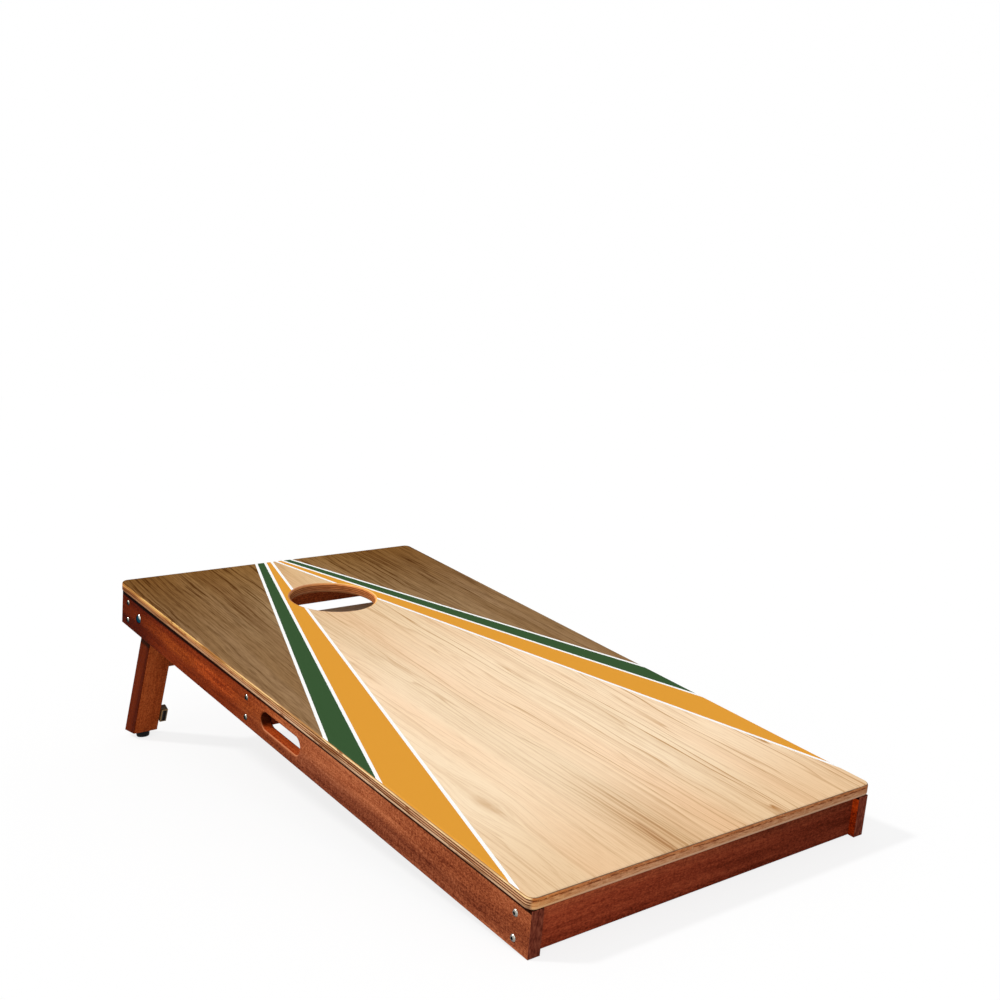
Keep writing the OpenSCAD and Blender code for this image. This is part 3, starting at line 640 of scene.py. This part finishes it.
def bare_ply(shader, place):
    """Unprinted underside: tan veneer with fine streaks and faint growth rings."""
    grain = shader.wander(place, (3, 1.6, 0), sway=0.016, seed=5.9)
    broad = shader.noise(grain, (26, 2, 0), seed=8.2)
    streak = shader.noise(grain, (320, 6, 0), seed=5.3, roughness=0.6)
    rings = grain_lines(shader, grain, 26, start=0.45, warp=5, warp_rates=(9, 1.2, 0), seed=3.4)
    veneer = shader.spread(shader.total((broad, 0.5), (streak, 0.5)), VENEER_TONES, (0.38, 0.62))
    return shader.tint(rings, veneer, VENEER_RING_TINT)


# Surface of the deck: roughness of its bare wood and of its print, and the depth of the bare wood's grain
BARE_ROUGHNESS = 0.60
PRINT_ROUGHNESS = 0.45
BARE_GRAIN_DEPTH = 0.0003


def deck_material():
    """Plywood with a printed top, bare edges, the bag hole's wall and a bare underside."""
    shader = Shader("printed_plywood")
    place = shader.deck_place()
    x, y, z = shader.split(place)
    past_hole = shader.minus(shader.length(shader.join(x, shader.minus(y, hole_y), 0.0)), hole_radius)
    in_hole = shader.math("LESS_THAN", past_hole, HOLE_RIM_END)
    skin = shader.remap(y, PRINT_SKIN_Y, (FRONT_PRINT_SKIN, REAR_PRINT_SKIN))
    on_top = shader.math("GREATER_THAN", shader.math("ADD", z, skin), 0.0)
    on_under = shader.math("LESS_THAN", z, VENEER_SKIN - deck_thickness)
    colour = shader.mix(on_top, ply_edges(shader, place), printed_top(shader, place))
    colour = shader.mix(in_hole, colour, hole_wall(shader, place, past_hole))
    colour = shader.mix(on_under, colour, bare_ply(shader, place))
    roughness = shader.remap(on_top, (0.0, 1.0), (BARE_ROUGHNESS, PRINT_ROUGHNESS))
    height = shader.product(shader.noise(place, (300, 300, 900), seed=1.1), shader.minus(1.0, on_top))
    normal = shader.bump(height, BARE_GRAIN_DEPTH)
    return shader.finish(Base_Color=colour, Roughness=roughness, Normal=normal, Specular_IOR_Level=0.0)


# Hardwood: the span of its summed patterns from its deepest to its lightest tone, its pores, and its varnish
TONE_SPAN = (0.99, 1.51)
PORE_SHARE = 0.60
PORE_TINT = (0.55, 0.45, 0.42)
VARNISH_ROUGHNESS = (0.34, 0.46)
VARNISH_DEPTH = 0.00012
VARNISH_SHINE = 0.002


class Hardwood(Shader):
    """Hardwood whose ribbons, streaks, ripple, specks and dark pores follow a grain along one axis."""

    def __init__(self, name, tones, grain_axis, seed, on_leg=False):
        super().__init__(name)
        self.place = self.leg_place() if on_leg else self.deck_place()
        self.x, self.y, self.z = self.split(self.place)

        def rates(across, along):
            return [along if axis == grain_axis else across for axis in range(3)]

        bent = self.wander(self.place, rates(6, 2), sway=0.005, seed=seed + 0.7)
        ribbon = self.noise(bent, rates(38, 1.8), seed, detail=2)
        ripple = self.noise(bent, rates(90, 320), seed + 4.4, detail=2)
        speck = self.noise(bent, rates(640, 300), seed + 5.5, detail=2, roughness=0.6)
        pores = self.noise(bent, rates(800, 70), seed + 6.2, detail=2)
        self.streak = self.noise(bent, rates(210, 9), seed + 2.1, detail=4, roughness=0.62)
        self.pore = self.remap(pores, (0.44, 0.32))
        tone = self.total((ribbon, 0.80), (self.streak, 0.55), (ripple, 0.25), (speck, 0.90))
        self.colour = self.spread(self.remap(tone, TONE_SPAN), tones)
        self.shade(self.product(self.pore, PORE_SHARE), PORE_TINT)

    def shade(self, share, factors):
        self.colour = self.tint(share, self.colour, factors)

    def varnished(self):
        roughness = self.remap(self.streak, NOISE_SPAN, VARNISH_ROUGHNESS)
        normal = self.bump(self.minus(self.streak, self.pore), VARNISH_DEPTH)
        return self.finish(
            Base_Color=self.colour,
            Roughness=roughness,
            Normal=normal,
            Specular_IOR_Level=VARNISH_SHINE,
        )


# Side rails: tones, and shades along the deck. A light ribbon runs along the rear half and is brightest at
# one patch. The lower part is darker, most of all midway along, by shares of the depth to its lower edge.
RAIL_TONES = [srgb(112, 47, 27), srgb(173, 91, 55), srgb(217, 131, 86)]
RAIL_WARM_Y = (0.50, 0.66)
RAIL_WARM_TINT = (1.0, 0.90, 0.68)
RAIL_REAR_Y = (0.56, 0.82)
RAIL_REAR_TINT = (0.81, 0.58, 0.36)
RIBBON_AT_Z = -0.047
OFF_RIBBON_HALF = (0.005, 0.016)
OFF_RIBBON_TINT = (0.72, 0.59, 0.68)
PATCH_AT_Y = 0.83
PATCH_HALF = (0.12, 0.02)
PATCH_TINT = (1.50, 1.45, 1.60)
RAIL_FAR_Y = (1.00, 1.15)
RAIL_FAR_TINT = (0.52, 0.41, 0.45)
LOW_SPAN = (0.50, 0.78)
LOW_FRONT_Y = (0.0, 0.30)
LOW_FRONT_SHARES = (0.4, 1.0)
LOW_REAR_Y = (0.60, 0.85)
LOW_REAR_SHARES = (1.0, 0.45)
LOW_TINT = (0.68, 0.66, 0.74)


def shade_along_rail(wood):
    """Redder and darker to the rear, apart from the light ribbon and its patch, and darker below."""
    rear = wood.remap(wood.y, RAIL_REAR_Y, smooth=True)
    off_ribbon = wood.remap(wood.apart(wood.z, RIBBON_AT_Z), OFF_RIBBON_HALF, smooth=True)
    wood.shade(wood.remap(wood.y, RAIL_WARM_Y, smooth=True), RAIL_WARM_TINT)
    wood.shade(rear, RAIL_REAR_TINT)
    wood.shade(wood.product(rear, off_ribbon), OFF_RIBBON_TINT)
    ribbon = wood.product(rear, wood.minus(1.0, off_ribbon))
    patch = wood.remap(wood.apart(wood.y, PATCH_AT_Y), PATCH_HALF, smooth=True)
    wood.shade(wood.product(ribbon, patch), PATCH_TINT)
    wood.shade(wood.remap(wood.y, RAIL_FAR_Y, smooth=True), RAIL_FAR_TINT)
    low = wood.remap(wood.z, [share * rail_bottom for share in LOW_SPAN], smooth=True)
    low = wood.product(low, wood.remap(wood.y, LOW_FRONT_Y, LOW_FRONT_SHARES))
    low = wood.product(low, wood.remap(wood.y, LOW_REAR_Y, LOW_REAR_SHARES))
    wood.shade(low, LOW_TINT)


# Hand slot, painted by how far the surface faces up, outward and to the rear: painted light on its lower
# wall, a painted highlight on that wall's outer rim, and painted shade on its inner rim and its rear end
SLOT_FLOOR_SPAN = (0.30, 0.80)
SLOT_FLOOR_LIGHT_TINT = (1.22, 0.76, 0.42)
SLOT_RIM_SPAN = (0.20, 0.40)
SLOT_OUTER_SPAN = (0.48, 0.64)
SLOT_RIM_HIGHLIGHT = srgb(200, 124, 84)
SLOT_INNER_SPAN = (-0.06, -0.26)
SLOT_INNER_SHADE_TINT = (0.14, 0.12, 0.12)
SLOT_REAR_SPAN = (-0.35, -0.80)
SLOT_REAR_SHADE_TINT = (0.17, 0.13, 0.12)


def shade_slot(wood):
    """Hand slot: painted light below with a highlight on the outer rim, painted shade on the inner rim and
    rear end.
    """
    up = wood.facing(deck_normal)
    outward = wood.product(wood.facing(ACROSS), wood.math("SIGN", wood.x))
    rising = wood.remap(up, SLOT_RIM_SPAN)
    # Painted light on the upward lower wall, a painted highlight on its outer rim, painted shade on inner
    # rim and rear end.
    wood.shade(wood.remap(up, SLOT_FLOOR_SPAN), SLOT_FLOOR_LIGHT_TINT)
    rim_highlight = wood.product(rising, wood.remap(outward, SLOT_OUTER_SPAN))
    wood.colour = wood.mix(rim_highlight, wood.colour, SLOT_RIM_HIGHLIGHT)
    inner_rim_shade = wood.product(rising, wood.remap(outward, SLOT_INNER_SPAN))
    wood.shade(inner_rim_shade, SLOT_INNER_SHADE_TINT)
    wood.shade(wood.remap(wood.facing(deck_along), SLOT_REAR_SPAN), SLOT_REAR_SHADE_TINT)


# Inner faces of the side rails, and their part ahead of the front rail
INSIDE_SKIN = 0.0005
INSIDE_TINT = (1.10, 0.80, 0.50)
FRONT_RECESS = 0.012
RECESS_TINT = (1.15, 0.56, 0.22)

# Painted shadow close under the deck's overhang: how far down it reaches in front and at the rear, and its
# span as shares of it
DECK_SHADOW_Y = (0.55, 1.0)
DECK_SHADOW_REACH = (0.0052, 0.0102)
DECK_SHADOW_SPAN = (1.0, 0.6)
DECK_SHADOW_TINT = (0.07, 0.07, 0.08)

# End grain of the side rails
RAIL_END_TONES = [srgb(88, 36, 24), srgb(124, 58, 42), srgb(152, 82, 60)]
RAIL_END_SKIN = 0.0004


def side_rail_material():
    """Speckled brown in front, redder at the rear with a light ribbon, and painted shadow under the deck."""
    wood = Hardwood("side_hardwood", RAIL_TONES, grain_axis=1, seed=1.3)
    shade_along_rail(wood)
    shade_slot(wood)
    inside = wood.math("LESS_THAN", wood.size(wood.x), rail_inner_x + INSIDE_SKIN)
    wood.shade(inside, INSIDE_TINT)
    ahead = wood.math("LESS_THAN", wood.y, rail_front + FRONT_RECESS)
    wood.shade(wood.product(inside, ahead), RECESS_TINT)
    # Painted shadow: darkens the rail close under the deck's overhang, reaching further down towards the
    # rear.
    below_deck = wood.minus(-deck_thickness, wood.z)
    deck_shadow = wood.math("DIVIDE", below_deck, wood.remap(wood.y, DECK_SHADOW_Y, DECK_SHADOW_REACH))
    wood.shade(wood.remap(deck_shadow, DECK_SHADOW_SPAN, smooth=True), DECK_SHADOW_TINT)
    to_end = wood.math("MINIMUM", wood.minus(wood.y, rail_front), wood.minus(rail_rear, wood.y))
    rings = wood.noise(wood.place, (420, 0, 150), seed=8.8, detail=4)
    end = wood.spread(rings, RAIL_END_TONES, NOISE_SPAN)
    wood.colour = wood.mix(wood.math("LESS_THAN", to_end, RAIL_END_SKIN), wood.colour, end)
    return wood.varnished()


# Cross rails: tones, the right end, the upper part by shares of the depth to the side rails' lower edge,
# and painted light on the rear rail's inner face, which lies in shade
CROSS_TONES = [srgb(116, 42, 23), srgb(162, 67, 41), srgb(196, 92, 57)]
CROSS_RIGHT_X = (-0.25, 0.22)
CROSS_RIGHT_TINT = (0.62, 0.64, 0.68)
CROSS_UPPER_SPAN = (0.52, 0.34)
CROSS_UPPER_TINT = (1.20, 1.46, 1.46)
CROSS_REAR_Y = (0.9, 1.0)
CROSS_INWARD_SPAN = (-0.5, -0.9)
CROSS_REAR_LIGHT_TINT = (2.10, 3.00, 2.20)


def cross_rail_material():
    """Deeper red, lighter at the left end and along the top, with painted light on the rear rail's inner
    face.
    """
    wood = Hardwood("cross_hardwood", CROSS_TONES, grain_axis=0, seed=4.6)
    wood.shade(wood.remap(wood.x, CROSS_RIGHT_X, smooth=True), CROSS_RIGHT_TINT)
    upper = wood.remap(wood.z, [share * rail_bottom for share in CROSS_UPPER_SPAN], smooth=True)
    wood.shade(upper, CROSS_UPPER_TINT)
    # Painted light: lightens the rear rail's inner face, which lies in shade under the deck.
    inward = wood.remap(wood.facing(deck_along), CROSS_INWARD_SPAN)
    wood.shade(wood.product(wood.remap(wood.y, CROSS_REAR_Y), inward), CROSS_REAR_LIGHT_TINT)
    return wood.varnished()


# Legs: tones, and shades of their outer faces
LEG_TONES = [srgb(125, 48, 20), srgb(180, 80, 36), srgb(213, 108, 55)]
OUTER_SKIN = 0.0008
OUTER_TINT = (0.28, 0.185, 0.16)
OUTER_FRONT_Y = (-0.004, -0.013)
OUTER_FRONT_TINT = (0.68, 0.62, 0.66)
RAIL_SHADOW_DEPTH = (0.030, 0.026)
RAIL_SHADOW_TINT = (0.36, 0.50, 0.66)


def leg_material():
    """Red-brown wood whose outer faces are darker, most of all close under the side rails."""
    wood = Hardwood("leg_hardwood", LEG_TONES, grain_axis=2, seed=7.9, on_leg=True)
    outer = wood.math("GREATER_THAN", wood.size(wood.x), leg_outer_x - OUTER_SKIN)
    wood.shade(outer, OUTER_TINT)
    wood.shade(wood.product(outer, wood.remap(wood.y, OUTER_FRONT_Y)), OUTER_FRONT_TINT)
    below_rail = wood.minus(rail_bottom, wood.split(wood.deck_place())[2])
    wood.shade(wood.product(outer, wood.remap(below_rail, RAIL_SHADOW_DEPTH)), RAIL_SHADOW_TINT)
    return wood.varnished()


# Crossbar and its dowels: tones, and the pale strip's depth below the bar's upper edge
BAR_TONES = [srgb(104, 42, 20), srgb(150, 70, 36), srgb(186, 98, 56)]
SAP_TONES = [srgb(240, 224, 202), srgb(248, 238, 222)]
SAP_DEPTH = (0.0012, 0.0006)
DOWEL_TONES = [srgb(196, 156, 104), srgb(214, 176, 124), srgb(228, 194, 146)]


def crossbar_material():
    """Red-brown bar with a pale strip of sapwood along its upper edge."""
    wood = Hardwood("bar_hardwood", BAR_TONES, grain_axis=0, seed=2.4, on_leg=True)
    sap = wood.spread(wood.streak, SAP_TONES, NOISE_SPAN)
    strip = wood.remap(wood.z, [bar_top - depth for depth in SAP_DEPTH])
    wood.colour = wood.mix(strip, wood.colour, sap)
    return wood.varnished()


def dowel_material():
    return Hardwood("dowel_hardwood", DOWEL_TONES, grain_axis=0, seed=9.4, on_leg=True).varnished()


# Steel: its light colour is a painted glint where it faces the glint's direction, its dark colour painted
# shade and dark reflection elsewhere, and its recesses get painted shade. The turn is the span from dark to
# light, by how far the surface faces the glint. The edge tints what is mirrored at a low angle.
GLINT_FROM = (0.10, -0.80, 0.60)
RECESS_REACH = 0.003
RECESS_SHADE_SPAN = (0.45, 0.90)
RECESS_SHADE = (0.004, 0.004, 0.004, 1)
SMEAR_SWING = (-0.06, 0.08)
PALE_EDGE = (0.8, 0.8, 0.8, 1)
METALS = {
    "bright_zinc": {
        "light": (0.36, 0.35, 0.31, 1),
        "dark": (0.13, 0.13, 0.12, 1),
        "edge": PALE_EDGE,
        "rough": 0.30,
        "turn": (-0.40, 0.60),
        "nodes": [
            "front_rail_screws",
            "deck_screws",
            "spacer_washers",
            "nut_washers",
            "lock_nuts",
            "strike_plate_screws",
            "foot_screws",
            "catch_screws",
        ],
    },
    "grey_zinc_painted_reflection": {
        "light": (0.40, 0.39, 0.33, 1),
        "dark": (0.03, 0.05, 0.055, 1),
        "edge": (0.2, 0.3, 0.3, 1),
        "rough": 0.26,
        "turn": (0.30, 0.78),
        "nodes": ["centre_brace_screws", "rear_rail_screws"],
    },
    "blue_zinc_painted_reflection": {
        "light": (0.72, 0.70, 0.62, 1),
        "dark": (0.007, 0.055, 0.082, 1),
        "edge": (0.02, 0.12, 0.16, 1),
        "rough": 0.24,
        "turn": (0.46, 0.74),
        "nodes": ["left_pivot_bolt", "right_pivot_bolt"],
    },
    "strike_steel": {
        "light": (0.42, 0.42, 0.43, 1),
        "dark": (0.20, 0.20, 0.21, 1),
        "edge": PALE_EDGE,
        "rough": 0.36,
        "turn": (-0.5, 0.5),
        "nodes": ["left_strike_plate", "right_strike_plate"],
    },
    "pole_steel": {
        "light": (0.06, 0.055, 0.05, 1),
        "dark": (0.03, 0.03, 0.03, 1),
        "edge": PALE_EDGE,
        "rough": 0.42,
        "turn": (-0.5, 0.5),
        "nodes": ["catch_pole_plates"],
    },
}


def metal_material(name, look):
    """Plated or plain steel whose shine varies a little, with a painted glint and painted shade in its
    recesses.
    """
    shader = Shader(name)
    smear = shader.noise(shader.deck_place(), (900, 900, 900), seed=2.2)
    openness = shader.node("AmbientOcclusion", {"Distance": RECESS_REACH}, samples=8, only_local=True)
    # Painted glint on the side facing GLINT_FROM, painted shade and dark reflection on the other, painted
    # shade in recesses.
    colour = shader.mix(shader.remap(shader.facing(GLINT_FROM), look["turn"]), look["dark"], look["light"])
    colour = shader.mix(shader.remap(openness.outputs["AO"], RECESS_SHADE_SPAN), RECESS_SHADE, colour)
    roughness = shader.remap(smear, NOISE_SPAN, [look["rough"] + swing for swing in SMEAR_SWING])
    return shader.finish(Base_Color=colour, Metallic=1.0, Roughness=roughness, Specular_Tint=look["edge"])


# Moulded pieces, with the depth of their grit. The catch housings have a paler rim in front.
SPECKLE_SHARES = (0.0, 0.5)
SPECKLE_TINT = (0.55, 0.55, 0.55)
SPECKLE_SWING = (-0.08, 0.08)
MOULDED_SHINE = 0.10
PALE_FRONT_RIM = srgb(196, 156, 108)
PALE_RIM_DEPTH = (0.0008, 0.0003)
CATCH_PLASTIC = {"colour": srgb(84, 64, 40), "rough": 0.45, "grit": 0.0001}
MOULDINGS = {
    "foot_rubber": {
        "colour": srgb(22, 22, 23),
        "rough": 0.62,
        "grit": 0.0002,
        "nodes": ["left_foot", "right_foot"],
    },
    "magnet_ferrite": {
        "colour": srgb(40, 26, 22),
        "rough": 0.7,
        "grit": 0.0001,
        "nodes": ["catch_magnets"],
    },
    "nylon": {
        "colour": srgb(226, 226, 216),
        "rough": 0.45,
        "grit": 0.0001,
        "nodes": ["lock_nut_rings"],
    },
}


class Moulded(Shader):
    """Moulded rubber, plastic or ferrite with a fine-grained surface."""

    def __init__(self, name, look):
        super().__init__(name)
        self.look = look
        self.place = self.leg_place()
        self.speckle = self.noise(self.place, (700, 700, 700), seed=1.9, detail=4)
        share = self.remap(self.speckle, (0.35, 0.65), SPECKLE_SHARES)
        self.colour = self.tint(share, look["colour"], SPECKLE_TINT)

    def matt(self):
        swings = [self.look["rough"] + swing for swing in SPECKLE_SWING]
        roughness = self.remap(self.speckle, NOISE_SPAN, swings)
        normal = self.bump(self.speckle, self.look["grit"])
        return self.finish(
            Base_Color=self.colour,
            Roughness=roughness,
            Normal=normal,
            Specular_IOR_Level=MOULDED_SHINE,
        )


def catch_material():
    """Bronze-brown plastic with a paler rim at its front."""
    plastic = Moulded("catch_plastic", CATCH_PLASTIC)
    y = plastic.split(plastic.place)[1]
    at_front = plastic.remap(y, [catch_front + depth for depth in PALE_RIM_DEPTH])
    plastic.colour = plastic.mix(at_front, plastic.colour, PALE_FRONT_RIM)
    return plastic.matt()


def dress(material, *names):
    for name in names:
        slots = nodes[name].data.materials
        slots.clear()
        slots.append(material)


def set_finishes():
    dress(deck_material(), "deck")
    dress(side_rail_material(), "left_side_rail", "right_side_rail")
    dress(cross_rail_material(), "front_rail", "rear_rail", "centre_brace")
    dress(leg_material(), "left_leg", "right_leg")
    dress(crossbar_material(), "leg_crossbar")
    dress(dowel_material(), "crossbar_dowels")
    dress(catch_material(), "left_catch_housing", "right_catch_housing")
    for name, look in METALS.items():
        dress(metal_material(name, look), *look["nodes"])
    for name, look in MOULDINGS.items():
        dress(Moulded(name, look).matt(), *look["nodes"])


set_camera()
set_light()
set_floor()
set_finishes()
